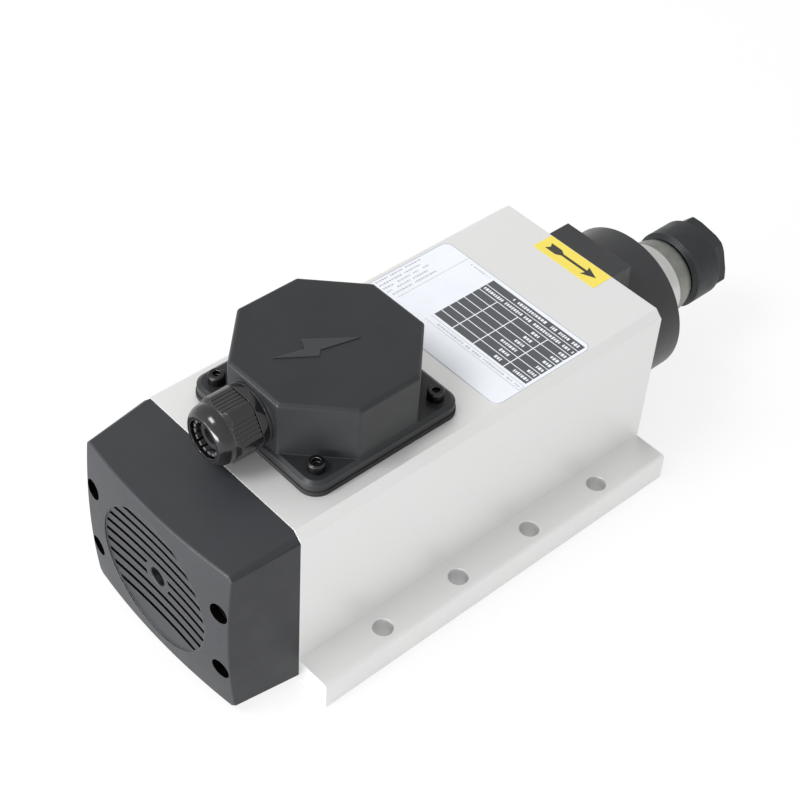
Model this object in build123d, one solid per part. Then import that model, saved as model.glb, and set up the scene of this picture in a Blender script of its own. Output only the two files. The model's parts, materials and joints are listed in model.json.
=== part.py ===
from build123d import *
from math import cos, radians, sin
import os

# Air-cooled motor spindle with an ER20 collet nose. Millimetres, +Z up.
# The origin is the centre of the base underside; +X points to the nose.

# ---- driving dimensions -------------------------------------------------
BODY_L, BODY_W, BODY_H = 190.0, 93.0, 84.0
FRONT, REAR = BODY_L / 2, -BODY_L / 2
AXIS_Z = BODY_H / 2                       # height of the spindle axis
BODY_CHAMFER = 3.5
FOOT_W, FOOT_T = 125.0, 13.0              # width over the feet, and their thickness
FOOT_HOLE_D, FOOT_HOLE_Y = 8.5, 55.0
FOOT_HOLE_XS = (-60.0, -20.0, 20.0, 60.0)
BORE_R = 36.0                             # stator bore
DUCT_INNER_R, DUCT_Y, DUCT_Z, DUCT_GAP = 41.0, 42.5, 37.0, 21.0
CORNER_SCREW_R = 40.0                     # rear end screws, on the diagonals
CAP_SCREW_Y, CAP_SCREW_Z = 32.0, 24.0     # front cap screws, from the axis
BOSS_R = 6.0                              # metal round each end screw
FIT = 0.03                                # gap of a pressed or located fit
M4_R = 2.0 + FIT                          # tapped holes of the smaller screws

CAP_BOSS_R, CAP_BOSS_END = 33.0, FRONT + 35.5
CAP_FLANGE_T, CAP_FILLET = 6.5, 4.5
CAP_TAB_W, CAP_TAB_T = 36.6, 11.5         # upright bar that joins the flange to the body's height
CAP_LUG_R, CAP_LUG_T = 5.6, 8.5
RETAINER_SCREW_R = 27.3
NOSE_BEARING = (12.5, 23.5, 12.0)         # bore radius, outer radius, width
TAIL_BEARING = (7.5, 17.5, 11.0)
NOSE_BEARING_X = CAP_BOSS_END - 4.0 - 2 * NOSE_BEARING[2]
RETAINER_R, RETAINER_T = 31.0, 4.0
NOSE_RING_R, NOSE_RING_END, NOSE_CONE_END = 18.0, FRONT + 53.0, FRONT + 60.5

SHAFT_R, SHAFT_END = 12.5, FRONT + 78.0   # nose thread radius and face
NUT_X0, NUT_X1 = FRONT + 63.5, FRONT + 86.0
NUT_FLATS, NUT_R, NUT_HEX_X = 32.0, 18.3, FRONT + 79.5
NUT_TURN = 12.0                           # angle of the first hexagon corner
COLLET_END = FRONT + 86.5
COLLET_TAPER = 0.1405                     # radius per length of the 8 degree cone
TOOL_R = 3.0

STATOR_L, STATOR_IN_R, SLOT_COUNT = 100.0, 20.4, 24
ROTOR_R, ROTOR_BARS = 20.0, 18
WINDING_L = 22.0                          # overhang of the end turns

SHIELD_T, SHIELD_R = 4.0, 38.3
FAN_R, FAN_BLADES = 33.0, 9
FAN_X0, FAN_X1 = REAR - 23.2, REAR - 8.5

COVER_L = 33.6                            # over the domed rear face
COVER_SLOPE_Y, COVER_SLOPE_Z = 0.0968, 0.1514
COVER_DOME_R, COVER_WALL = 320.0, 2.8
COVER_CHAMFER = 4.0
COVER_SCREW_Y, COVER_SCREW_Z = 38.5, 16.0
COVER_POST_R, COVER_HEAD_R = 6.2, 4.3     # screw posts, and the holes their heads sit in
GRILLE_R, GRILLE_OPEN_R, GRILLE_BOSS_R = 31.0, 24.5, 7.0
SLOT_PITCH, SLOT_W, SLOT_ROWS = 5.6, 2.4, 5
DISH_R = 370.0

BOX_X, BOX_FLANGE, BOX_FLANGE_T = REAR + 50.4, 73.2, 4.3
BOX_CORNER_R = 7.0                        # flange corners, round the screws
BOX_W, BOX_CUT, BOX_TOP = 70.6, 21.0, BODY_H + 31.3
BOX_EDGE, BOX_LID_EDGE = 1.5, 2.0         # rounding of the hood's uprights and of its lid
BOX_WALL, GASKET_T, GASKET_LIP, BOX_SCREW = 3.0, 2.0, 0.4, 29.15
BOX_SCREW_HOLE_R = 2.3
CABLE_HOLE_X, CABLE_HOLE_R = REAR + 34.0, 7.0

GLAND_X, GLAND_Z = BOX_X - BOX_W / 2, BODY_H + 16.0
GLAND_PAD_T, GLAND_COLLAR_T, GLAND_COLLAR_R = 1.5, 5.0, 12.5
GLAND_FLATS, GLAND_R, GLAND_THREAD_R = 24.6, 13.3, 10.2
GLAND_BORE_R, GLAND_SEAT_R, GLAND_SHANK_R = 6.8, 8.5, 9.8
GLAND_BACK, GLAND_DOME, GLAND_TIP = GLAND_X - 5.3, GLAND_X - 16.4, GLAND_X - 22.1
GLAND_FINGERS, GLAND_GROOVES = 16, 5
CABLE_R = 3.5

nodes = {}


# ---- helpers ------------------------------------------------------------
def tube(x0, x1, outer, inner=0.0, y=0.0, z=AXIS_Z):
    """A cylinder or ring along X, between x0 and x1."""
    ring = Circle(outer) - Circle(inner) if inner else Circle(outer)
    return Pos(x0, y, z) * extrude(Plane.YZ * ring, x1 - x0)


def turned(points, y=0.0, z=AXIS_Z):
    """A solid of revolution about X from (x, radius) points."""
    return Pos(0, y, z) * revolve(Polygon(*points, align=None), Axis.X, 360)


def section(sketch, x0, x1, y=0.0, z=AXIS_Z):
    """A sketch in the YZ plane, carried along X from x0 to x1."""
    return Pos(x0, y, z) * extrude(Plane.YZ * sketch, x1 - x0)


def across(x0, x1, flats, turn=0.0, z=AXIS_Z):
    """A hexagonal bar along X, given across its flats."""
    return section(Rot(0, 0, turn) * RegularPolygon(flats / 2, 6, major_radius=False), x0, x1, z=z)


def around(count, radius, start=0.0):
    """Places on a circle about the spindle axis, as (y, z, angle)."""
    angles = [start + 360.0 * i / count for i in range(count)]
    return [(radius * cos(radians(a)), radius * sin(radians(a)), a) for a in angles]


def screw(size, length, socket=True):
    """Socket head cap screw along +Z, head up, its seat at the origin."""
    head_r, head_h = 0.85 * size, size
    body = Cylinder(size / 2, length, align=(Align.CENTER, Align.CENTER, Align.MAX))
    head = Cylinder(head_r, head_h, align=(Align.CENTER, Align.CENTER, Align.MIN))
    head = chamfer(head.edges().filter_by(GeomType.CIRCLE).sort_by(Axis.Z)[-1], 0.12 * size)
    if socket:
        key = extrude(RegularPolygon(0.4 * size, 6, major_radius=False), 0.55 * size)
        head -= Pos(0, 0, 0.5 * size) * key
    return body + head


def facing(x, y, z, towards=1):
    """Place for a screw whose head points along +X (1) or -X (-1)."""
    return Pos(x, y, z) * Rot(0, 90 * towards, 0)


def loft_box(half_y, half_z, length, cut0, cut1, x0=REAR, inset=0.0):
    """The cover's tapered block, from x0 backwards."""
    def face(x, shrink, cut):
        outline = Rectangle(2 * (half_y - COVER_SLOPE_Y * shrink - inset),
                            2 * (half_z - COVER_SLOPE_Z * shrink - inset))
        return Pos(x, 0, AXIS_Z) * (Plane.YZ * chamfer(outline.vertices(), cut))
    return loft([face(x0, 0, cut0), face(x0 - length, length, cut1)])


def ball_end(radius, apex):
    """A large sphere whose rearmost point lies at x = apex."""
    return Pos(apex + radius, 0, AXIS_Z) * Sphere(radius)


def ball_start(radius, apex):
    """A large sphere whose foremost point lies at x = apex."""
    return Pos(apex - radius, 0, AXIS_Z) * Sphere(radius)


# ---- motor housing ------------------------------------------------------
def cap_screw_places():
    return [(y, z) for y in (-CAP_SCREW_Y, CAP_SCREW_Y) for z in (-CAP_SCREW_Z, CAP_SCREW_Z)]


def end_screw_places():
    """Screws at both ends of the body, as (y, z) from the axis."""
    return cap_screw_places() + [(y, z) for y, z, _ in around(4, CORNER_SCREW_R, 45)]


def motor_housing():
    block = Pos(0, AXIS_Z) * Rectangle(BODY_W, BODY_H)
    block = chamfer(block.vertices().sort_by(Axis.Y)[-2:], BODY_CHAMFER)
    feet = Pos(0, FOOT_T / 2) * Rectangle(FOOT_W, FOOT_T)
    feet = fillet(feet.vertices().sort_by(Axis.Y)[-2:], 1.5)
    bore = Pos(0, AXIS_Z) * Circle(BORE_R)
    ducts = Rectangle(2 * DUCT_Y, 2 * DUCT_Z) - Circle(DUCT_INNER_R) - Rectangle(BODY_W, 2 * DUCT_GAP)
    for y, z in end_screw_places():
        ducts -= Pos(y, z) * Circle(BOSS_R)
    profile = block + feet - bore - Pos(0, AXIS_Z) * ducts
    body = Pos(REAR, 0, 0) * extrude(Plane.YZ * profile, BODY_L)
    for x in FOOT_HOLE_XS:
        for y in (-FOOT_HOLE_Y, FOOT_HOLE_Y):
            body -= Pos(x, y, FOOT_T / 2) * Cylinder(FOOT_HOLE_D / 2, 2 * FOOT_T)
    for y, z in cap_screw_places():
        body -= tube(FRONT - 16, FRONT, 2.5 + FIT, y=y, z=AXIS_Z + z)
    for y, z, _ in around(4, CORNER_SCREW_R, 45):
        body -= tube(REAR, REAR + 14, M4_R, y=y, z=AXIS_Z + z)
    for y in (-COVER_SCREW_Y, COVER_SCREW_Y):
        for z in (-COVER_SCREW_Z, COVER_SCREW_Z):
            body -= tube(REAR, REAR + 12, M4_R, y=y, z=AXIS_Z + z)
    for x, y in box_corners():
        body -= Pos(x, y, BODY_H) * Cylinder(M4_R, 16.0)
    body -= Pos(CABLE_HOLE_X, 0, BODY_H) * Cylinder(CABLE_HOLE_R, 20.0)
    return body


# ---- front end: cap, bearings, retainer ---------------------------------
def front_end_cap():
    face, root = FRONT + CAP_FLANGE_T, CAP_BOSS_R + CAP_FILLET
    with BuildPart() as cap:
        with BuildSketch(Plane.XY):
            with BuildLine():
                Polyline((FRONT - 6, 0), (FRONT - 6, BORE_R - FIT), (FRONT, BORE_R - FIT),
                         (FRONT, root), (face, root))
                RadiusArc((face, root), (face + CAP_FILLET, CAP_BOSS_R), CAP_FILLET)
                Polyline((face + CAP_FILLET, CAP_BOSS_R), (CAP_BOSS_END - 1.5, CAP_BOSS_R),
                         (CAP_BOSS_END, CAP_BOSS_R - 1.5), (CAP_BOSS_END, 0), (FRONT - 6, 0))
            make_face()
        revolve(axis=Axis.X)
    body = Pos(0, 0, AXIS_Z) * cap.part
    body += section(Rectangle(CAP_TAB_W, BODY_H), FRONT, FRONT + CAP_TAB_T)
    for y, z in cap_screw_places():
        body += tube(FRONT, FRONT + CAP_LUG_T, CAP_LUG_R, y=y, z=AXIS_Z + z)
    body -= tube(FRONT - 7, NOSE_BEARING_X, 21.0)
    body -= tube(NOSE_BEARING_X, CAP_BOSS_END + 1, NOSE_BEARING[1])
    body -= tube(CAP_BOSS_END - RETAINER_T, CAP_BOSS_END + 1, RETAINER_R)
    for y, z in cap_screw_places():
        body -= tube(FRONT - 1, FRONT + CAP_LUG_T + 1, 2.75, y=y, z=AXIS_Z + z)
        body -= tube(cap_screw_seat(), FRONT + CAP_LUG_T + 4, 4.6, y=y, z=AXIS_Z + z)
    for y, z, _ in around(4, RETAINER_SCREW_R):
        body -= tube(CAP_BOSS_END - 12, CAP_BOSS_END, 1.5, y=y, z=AXIS_Z + z)
    return body


def cap_screw_seat():
    return FRONT + CAP_LUG_T - 5.2


def cap_screws():
    return [facing(cap_screw_seat(), y, AXIS_Z + z) * screw(5.0, 18) for y, z in cap_screw_places()]


def bearing_retainer():
    plate = tube(CAP_BOSS_END - RETAINER_T, CAP_BOSS_END, RETAINER_R - FIT, NOSE_RING_R + 0.6)
    for y, z, _ in around(4, RETAINER_SCREW_R):
        plate -= tube(CAP_BOSS_END - 10, CAP_BOSS_END + 1, 1.6, y=y, z=AXIS_Z + z)
        plate -= tube(CAP_BOSS_END - 3, CAP_BOSS_END + 1, 2.8, y=y, z=AXIS_Z + z)
    return plate


def retainer_screws():
    seat = CAP_BOSS_END - 3
    return [facing(seat, y, AXIS_Z + z) * screw(3.0, 8, False) for y, z, _ in around(4, RETAINER_SCREW_R)]


def bearing(x0, sizes):
    """Outer ring, inner ring and ball set of a bearing that starts at x0."""
    bore, outside, width = sizes
    wall = (outside - bore) / 3.6
    lip = width * 0.1
    outer = tube(x0, x0 + width, outside - FIT, outside - wall)
    inner = tube(x0, x0 + width, bore + wall, bore + FIT)
    r0, r1 = bore + wall + 0.35, outside - wall - 0.35
    cage = tube(x0 + lip, x0 + width - lip, r1, r0)
    return outer, inner, cage


def nose_ring():
    x0 = NOSE_BEARING_X + 2 * NOSE_BEARING[2]
    return turned([(x0, SHAFT_R + FIT), (x0, 15.2), (x0 + 1, 15.2), (x0 + 1, NOSE_RING_R - 0.5),
                   (x0 + 1.5, NOSE_RING_R), (NOSE_RING_END - 0.8, NOSE_RING_R),
                   (NOSE_RING_END, NOSE_RING_R - 0.8), (NOSE_RING_END, 16.4),
                   (NOSE_CONE_END, 15.2), (NOSE_CONE_END, SHAFT_R + FIT)])


# ---- rotor --------------------------------------------------------------
def spindle_shaft():
    tail, inner_x = REAR - 25.5, REAR + TAIL_BEARING[2] + 1
    shaft = turned([(tail, 0), (tail, 5.5), (tail + 0.5, 6), (REAR - 3, 6), (REAR - 3, TAIL_BEARING[0]),
                    (inner_x, TAIL_BEARING[0]), (inner_x, 9.5), (-STATOR_L / 2 - 15, 9.5),
                    (-STATOR_L / 2 - 15, 13), (STATOR_L / 2 + 4, 13), (STATOR_L / 2 + 4, 15),
                    (NOSE_BEARING_X, 15), (NOSE_BEARING_X, SHAFT_R), (SHAFT_END - 1, SHAFT_R),
                    (SHAFT_END, SHAFT_R - 1), (SHAFT_END, 0)])
    mouth_r = collet_radius(SHAFT_END) + 0.08
    deep = COLLET_END - 34.0
    shaft -= turned([(SHAFT_END + 1, 0), (SHAFT_END + 1, mouth_r + COLLET_TAPER),
                     (deep, mouth_r - COLLET_TAPER * (SHAFT_END - deep)), (deep, 0)])
    shaft -= tube(SHAFT_END - 58, SHAFT_END, 5.5)
    return shaft - tube(tail + 1.2, tail + 2.3, 8, 5.3)


def rotor_bar_places():
    return around(ROTOR_BARS, ROTOR_R - 3.2)


def rotor_core():
    core = Circle(ROTOR_R) - Circle(13 + FIT)
    for y, z, angle in rotor_bar_places():
        core -= Pos(y, z) * Rot(0, 0, angle) * Rectangle(4.4, 2.2)
    return section(core, -STATOR_L / 2, STATOR_L / 2)


def rotor_cage():
    """End rings and bars, cast in one piece through the core's slots."""
    end = STATOR_L / 2
    bars = Sketch() + [Pos(y, z) * Rot(0, 0, angle) * Rectangle(4.4, 2.2)
                       for y, z, angle in rotor_bar_places()]
    cage = tube(-end - 8, -end, ROTOR_R - 0.6, 13.2) + tube(end, end + 3.5, ROTOR_R - 0.6, 15.2)
    return cage + section(bars, -end - 1, end + 1)


# ---- stator -------------------------------------------------------------
def stator_core():
    core = Circle(BORE_R - FIT) - Circle(STATOR_IN_R)
    for y, z, angle in around(SLOT_COUNT, 26.5):
        core -= Pos(y, z) * Rot(0, 0, angle) * Rectangle(8.0, 3.2)
    for y, z, angle in around(SLOT_COUNT, 21.4):
        core -= Pos(y, z) * Rot(0, 0, angle) * Rectangle(3.2, 1.4)
    return section(core, -STATOR_L / 2, STATOR_L / 2)


def stator_windings():
    """Slot sides and both rounded end turns of the winding."""
    end, slot = STATOR_L / 2, Sketch()
    for y, z, angle in around(SLOT_COUNT, 26.6):
        slot += Pos(y, z) * Rot(0, 0, angle) * Rectangle(7.4, 2.9)
    coil = section(slot, -end - 4, end + 4)
    for side in (-1, 1):
        a, b = side * (end + 1.5), side * (end + WINDING_L)
        coil += turned([(a, 23.2), (a, 30.0), (a + side * 4, 33.0), (b - side * 3, 33.4),
                        (b, 30.5), (b, 25.5), (b - side * 3, 23.2)])
    return coil


# ---- rear end: shield, bearing, spring, fan -----------------------------
def rear_end_shield():
    plate = Circle(SHIELD_R)
    for y, z, _ in around(4, CORNER_SCREW_R, 45):
        plate += Pos(y, z) * Circle(BOSS_R)
    for y, z in cover_posts():
        plate -= Pos(y, z - AXIS_Z) * Circle(COVER_POST_R + 0.5)
    shield = section(plate, REAR - SHIELD_T, REAR)
    shield += tube(REAR, REAR + 7, BORE_R - FIT, BORE_R - 5)
    shield += tube(REAR, REAR + 13, TAIL_BEARING[1] + 4.5)
    shield -= tube(REAR - 1.5, REAR + 13, TAIL_BEARING[1])
    shield -= tube(REAR - SHIELD_T, REAR, 9.0)
    for y, z, _ in around(4, CORNER_SCREW_R, 45):
        shield -= tube(REAR - SHIELD_T, REAR, 2.2, y=y, z=AXIS_Z + z)
    return shield


def shield_screws():
    seat = REAR - SHIELD_T
    return [facing(seat, y, AXIS_Z + z, -1) * screw(4.0, 14, False)
            for y, z, _ in around(4, CORNER_SCREW_R, 45)]


def preload_spring():
    """Disc spring that pushes the rear outer ring forwards."""
    x0, x1 = REAR - 1.5, REAR + 1
    return turned([(x0, 17.2), (x0 + 0.7, 17.2), (x1, 13.6), (x1 - 0.7, 13.2)])


def cooling_fan():
    fan = tube(FAN_X0, FAN_X1, 11.0, 6.0 + FIT) + tube(FAN_X1 - 2, FAN_X1, FAN_R, 10.0)
    swept_tip = (FAN_R * cos(radians(38)), FAN_R * sin(radians(38)))
    blade = trace(RadiusArc((10.4, 0), swept_tip, 24.0), 1.8) & Circle(FAN_R)
    blades = Sketch() + [Rot(0, 0, 360.0 * i / FAN_BLADES) * blade for i in range(FAN_BLADES)]
    fan += section(blades, FAN_X0 + 1.5, FAN_X1 - 1)
    return fan


def fan_circlip():
    x0 = REAR - 25.5 + 1.25
    ring = Circle(8.2) - Circle(5.45) - Pos(0, -7) * Rectangle(3.0, 8.0)
    return section(ring, x0, x0 + 1.0)


# ---- fan cover ----------------------------------------------------------
def cover_posts():
    return [(y, AXIS_Z + z) for y in (-COVER_SCREW_Y, COVER_SCREW_Y)
            for z in (-COVER_SCREW_Z, COVER_SCREW_Z)]


def fan_cover():
    """Tapered moulded hood with a domed rear face and a dished grille."""
    apex = REAR - COVER_L
    half_y, half_z = BODY_W / 2, BODY_H / 2
    outer = loft_box(half_y, half_z, COVER_L + 2, COVER_CHAMFER, 1.5) & ball_end(COVER_DOME_R, apex)
    outer = fillet(outer.faces().sort_by(Axis.X)[0].edges(), 1.0)
    hollow = loft_box(half_y, half_z, COVER_L + 2, COVER_CHAMFER, 1.5, inset=COVER_WALL)
    hollow &= ball_end(COVER_DOME_R - COVER_WALL, apex + COVER_WALL)
    cover = outer - hollow
    pad_x = apex + 6.2
    cover += tube(apex + 1.6, pad_x, GRILLE_R + 2)
    for y, z in cover_posts():
        cover += tube(apex + 6, REAR, COVER_POST_R, y=y, z=z) & outer
    # concave dish, with its ribs left standing on the dish floor
    cover -= tube(apex - 5, pad_x, GRILLE_R) & ball_start(DISH_R, apex + 3.4)
    for row in range(1 - SLOT_ROWS, SLOT_ROWS):
        z = AXIS_Z + (row + 0.5) * SLOT_PITCH
        strip = Pos(apex, 0, z) * Box(20, 2 * GRILLE_R, SLOT_W)
        groove = strip & tube(apex - 5, pad_x, GRILLE_R - 0.4) - tube(apex - 5, pad_x, GRILLE_BOSS_R)
        cover -= groove & ball_start(DISH_R, apex + 4.6)
        if abs(z - AXIS_Z) < GRILLE_OPEN_R:
            cover -= strip & tube(apex - 5, pad_x + 1, GRILLE_OPEN_R, GRILLE_BOSS_R)
    cover -= turned([(apex - 1, 0), (apex - 1, 4.5), (apex + 3.4, 4.5), (apex + 5.2, 2.2), (apex + 5.2, 0)])
    for y, z in cover_posts():
        cover -= tube(apex - 5, REAR - 6, COVER_HEAD_R, y=y, z=z)
        cover -= tube(REAR - 7, REAR + 1, 2.2, y=y, z=z)
    return cover


def cover_screws():
    return [facing(REAR - 6, y, z, -1) * screw(4.0, 15) for y, z in cover_posts()]


# ---- collet and nut -----------------------------------------------------
def collet_radius(x):
    """Outside radius of the collet's long cone at x."""
    return 10.4 - COLLET_TAPER * (COLLET_END - 7.0 - x)


def collet():
    end = COLLET_END
    body = turned([(end, TOOL_R), (end, 8.3), (end - 2.5, 9.75), (end - 2.5, 8.6), (end - 5, 8.6),
                   (end - 5, 10.4), (end - 7, 10.4), (end - 30, collet_radius(end - 30)),
                   (end - 31.5, collet_radius(end - 30) - 0.8), (end - 31.5, TOOL_R)])
    for y, z, angle in around(4, 6.0):
        cut = Pos(0, 0, AXIS_Z) * Rot(angle, 0, 0)
        body -= cut * Pos(end - 12.5, 7, 0) * Box(27, 9.6, 0.9)
        body -= cut * Rot(45, 0, 0) * Pos(end - 19, 7, 0) * Box(27, 9.6, 0.9)
    return body


def collet_nut():
    """Hexagon nut with a round collar, a seat cone and an eject ring inside."""
    nut = turned([(NUT_X0, 0), (NUT_X0, NUT_R - 2.2), (NUT_X0 + 1.8, NUT_R), (NUT_X1 - 1.0, NUT_R),
                  (NUT_X1, NUT_R - 1.7), (NUT_X1, 0)])
    nut -= tube(NUT_HEX_X, NUT_X1, NUT_R + 2) - across(NUT_HEX_X, NUT_X1, NUT_FLATS, NUT_TURN)
    seat = COLLET_END - 2.5
    nut -= turned([(NUT_X0 - 1, 0), (NUT_X0 - 1, SHAFT_R + 0.6), (NUT_X0 + 1, SHAFT_R + 0.08),
                   (SHAFT_END + 1.5, SHAFT_R + 0.08), (SHAFT_END + 1.5, 11.2), (seat - 1.9, 11.2),
                   (seat - 1.9, 9.1), (seat - 0.4, 9.1), (seat - 0.4, 10.0), (seat + 0.1, 9.95),
                   (NUT_X1 + 0.1, 8.72), (NUT_X1 + 0.1, 0)])
    return nut


# ---- terminal box -------------------------------------------------------
def octagon(width, cut):
    return chamfer(Rectangle(width, width).vertices(), cut)


def box_corners():
    return [(BOX_X + x, y) for x in (-BOX_SCREW, BOX_SCREW) for y in (-BOX_SCREW, BOX_SCREW)]


def terminal_box_gasket():
    side = BOX_FLANGE + 2 * GASKET_LIP
    outline = RectangleRounded(side, side, BOX_CORNER_R + GASKET_LIP)
    gasket = Pos(BOX_X, 0, BODY_H) * extrude(outline - octagon(BOX_W - 8, BOX_CUT), GASKET_T)
    for x, y in box_corners():
        gasket -= Pos(x, y, BODY_H) * Cylinder(BOX_SCREW_HOLE_R, 10)
    return gasket


def hood(inset, edge, top):
    """The octagonal hood, from the gasket up."""
    outline = octagon(BOX_W - 2 * inset, BOX_CUT - 0.6 * inset)
    outline = fillet(outline.vertices(), edge)
    foot = BODY_H + GASKET_T
    return Pos(BOX_X, 0, foot) * extrude(outline, top - foot)


def terminal_box_cover():
    foot = BODY_H + GASKET_T
    base = extrude(RectangleRounded(BOX_FLANGE, BOX_FLANGE, BOX_CORNER_R), BOX_FLANGE_T)
    base = chamfer(base.faces().sort_by(Axis.Z)[-1].edges(), 1.2, 1.6)
    outer = hood(0, BOX_EDGE, BOX_TOP)
    outer = fillet(outer.faces().sort_by(Axis.Z)[-1].edges(), BOX_LID_EDGE)
    cover = Pos(BOX_X, 0, foot) * base + outer
    cover += tube(GLAND_X - GLAND_PAD_T, GLAND_X + 1, GLAND_COLLAR_R + 0.4, z=GLAND_Z)
    cover -= hood(BOX_WALL, 1.0, BOX_TOP - BOX_WALL)
    cover -= tube(GLAND_X - 3, GLAND_X + 8, GLAND_SHANK_R + 0.2, z=GLAND_Z)
    for x, y in box_corners():
        cover -= Pos(x, y, foot) * Cylinder(BOX_SCREW_HOLE_R, 40)
    return cover


def box_screws():
    """A cap screw at each corner of the flange."""
    seat = BODY_H + GASKET_T + BOX_FLANGE_T
    return [Pos(x, y, seat) * screw(4.0, 14) for x, y in box_corners()]


def terminal_block():
    block = Pos(BOX_X + 4, 0, BODY_H + 7) * Box(16, 36, 14)
    for row in range(-1, 3):
        y = (row - 0.5) * 8.4
        block -= Pos(BOX_X - 2, y, BODY_H + 12) * Box(10, 5.6, 6)
        block -= Pos(BOX_X + 9, y, BODY_H + 12) * Box(6, 5.6, 6)
        block -= Pos(BOX_X + 4, y, BODY_H + 14) * Cylinder(1.8 + FIT, 10)
    return block


def terminal_studs():
    z = BODY_H + 9.0
    return [Pos(BOX_X + 4, (row - 0.5) * 8.4, z) * Cylinder(1.8, 14,
            align=(Align.CENTER, Align.CENTER, Align.MIN)) for row in range(-1, 3)]


def phase_leads():
    """Three insulated leads from the end turns up to the terminal block."""
    leads = []
    for row in (-1, 0, 1):
        y0, y1 = row * 3.4, row * 8.4 - 4.2
        route = FilletPolyline((CABLE_HOLE_X, y0, AXIS_Z + 33.5), (CABLE_HOLE_X, y0, BODY_H + 11),
                               (BOX_X - 2.5, y1, BODY_H + 11), radius=5)
        ring = Plane(route @ 0, z_dir=route % 0) * Circle(1.3)
        leads.append(sweep(ring, route))
    return leads


# ---- cable gland --------------------------------------------------------
def gland_body():
    x = GLAND_X
    seat = x - GLAND_PAD_T
    body = turned([(x + 12, 0), (x + 12, GLAND_SHANK_R), (seat, GLAND_SHANK_R), (seat, GLAND_COLLAR_R),
                   (x - GLAND_COLLAR_T, GLAND_R), (x - GLAND_COLLAR_T, GLAND_THREAD_R),
                   (x - 13.5, GLAND_THREAD_R), (x - 13.5, 0)], z=GLAND_Z)
    body &= across(x - 14, x + 13, 2 * GLAND_COLLAR_R, z=GLAND_Z)
    body -= tube(x - 14, x + 13, GLAND_BORE_R, z=GLAND_Z)
    return body - tube(x - 14, x - 6.5, GLAND_SEAT_R, z=GLAND_Z)


def gland_seal():
    x = GLAND_X - 6.8
    return turned([(x, CABLE_R), (x, 8.4), (x - 6.7, 8.4), (x - 12, 5.6), (x - 12, CABLE_R)], z=GLAND_Z)


def gland_claw():
    """Ring of fingers that the cap nut bends onto the seal."""
    x = GLAND_X - 13.8
    claw = turned([(x, 8.8), (x, 10.0), (x - 2.4, 10.0), (x - 6.9, 7.3), (x - 6.9, 6.2),
                   (x - 1.9, 8.8)], z=GLAND_Z)
    for y, z, angle in around(GLAND_FINGERS, 8.0):
        claw -= Pos(x - 4.7, y, GLAND_Z + z) * Rot(angle, 0, 0) * Box(5.6, 8, 1.1)
    return claw


def gland_cap_nut():
    """Domed hexagon nut with grooved flats and a rounded mouth."""
    back, dome, tip = GLAND_BACK, GLAND_DOME, GLAND_TIP
    with BuildPart() as shell:
        with BuildSketch(Plane.XY):
            with BuildLine():
                Polyline((dome, 9.0), (dome, 12.0))
                RadiusArc((dome, 12.0), (tip, 9.2), -5.8)
                Polyline((tip, 9.2), (tip, 7.8), (dome, 9.0))
            make_face()
        revolve(axis=Axis.X)
    nut = Pos(0, 0, GLAND_Z) * shell.part
    blank = turned([(back, 0), (back, GLAND_R), (dome + 1.6, GLAND_R), (dome, 12.0), (dome, 0)], z=GLAND_Z)
    nut += blank & across(dome, back, GLAND_FLATS, z=GLAND_Z)
    thread_end = dome + 2.4
    nut -= turned([(back + 1, 0), (back + 1, GLAND_THREAD_R + 0.08), (thread_end, GLAND_THREAD_R + 0.08),
                   (thread_end, 10.5), (dome, 10.5), (tip + 0.8, 8.1), (tip + 0.8, 7.8),
                   (tip - 1, 7.8), (tip - 1, 0)], z=GLAND_Z)
    middle = (GLAND_GROOVES - 1) / 2
    for side in range(6):
        flat = Pos(0, 0, GLAND_Z) * Rot(60 * side, 0, 0)
        for groove in range(GLAND_GROOVES):
            place = Pos(back - 5.3, (groove - middle) * 1.67, GLAND_FLATS / 2)
            nut -= flat * place * Box(10.8, 0.7, 0.8)
    return nut


def gland_locknut():
    x = GLAND_X + BOX_WALL
    nut = across(x, x + 4.5, 22.0, 30, z=GLAND_Z) & tube(x, x + 4.5, 11.8, z=GLAND_Z)
    return nut - tube(x - 1, x + 6, GLAND_SHANK_R + FIT, z=GLAND_Z)


# ---- all pieces ---------------------------------------------------------
nose_parts = [bearing(NOSE_BEARING_X + i * NOSE_BEARING[2], NOSE_BEARING) for i in range(2)]
tail_parts = bearing(REAR + 1, TAIL_BEARING)

nodes["motor_housing"] = motor_housing()
nodes["front_end_cap"] = front_end_cap()
nodes["front_cap_screws"] = cap_screws()
nodes["bearing_retainer"] = bearing_retainer()
nodes["retainer_screws"] = retainer_screws()
nodes["front_bearing_outer_rings"] = [parts[0] for parts in nose_parts]
nodes["front_bearing_inner_rings"] = [parts[1] for parts in nose_parts]
nodes["front_bearing_ball_cages"] = [parts[2] for parts in nose_parts]
nodes["nose_ring"] = nose_ring()
nodes["spindle_shaft"] = spindle_shaft()
nodes["rotor_core"] = rotor_core()
nodes["rotor_cage"] = rotor_cage()
nodes["stator_core"] = stator_core()
nodes["stator_windings"] = stator_windings()
nodes["rear_end_shield"] = rear_end_shield()
nodes["rear_shield_screws"] = shield_screws()
nodes["rear_bearing_outer_ring"] = tail_parts[0]
nodes["rear_bearing_inner_ring"] = tail_parts[1]
nodes["rear_bearing_ball_cage"] = tail_parts[2]
nodes["preload_spring"] = preload_spring()
nodes["cooling_fan"] = cooling_fan()
nodes["fan_circlip"] = fan_circlip()
nodes["fan_cover"] = fan_cover()
nodes["fan_cover_screws"] = cover_screws()
nodes["collet"] = collet()
nodes["collet_nut"] = collet_nut()
nodes["terminal_box_gasket"] = terminal_box_gasket()
nodes["terminal_box_cover"] = terminal_box_cover()
nodes["terminal_box_screws"] = box_screws()
nodes["terminal_block"] = terminal_block()
nodes["terminal_studs"] = terminal_studs()
nodes["phase_leads"] = phase_leads()
nodes["gland_body"] = gland_body()
nodes["gland_seal"] = gland_seal()
nodes["gland_claw"] = gland_claw()
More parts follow.
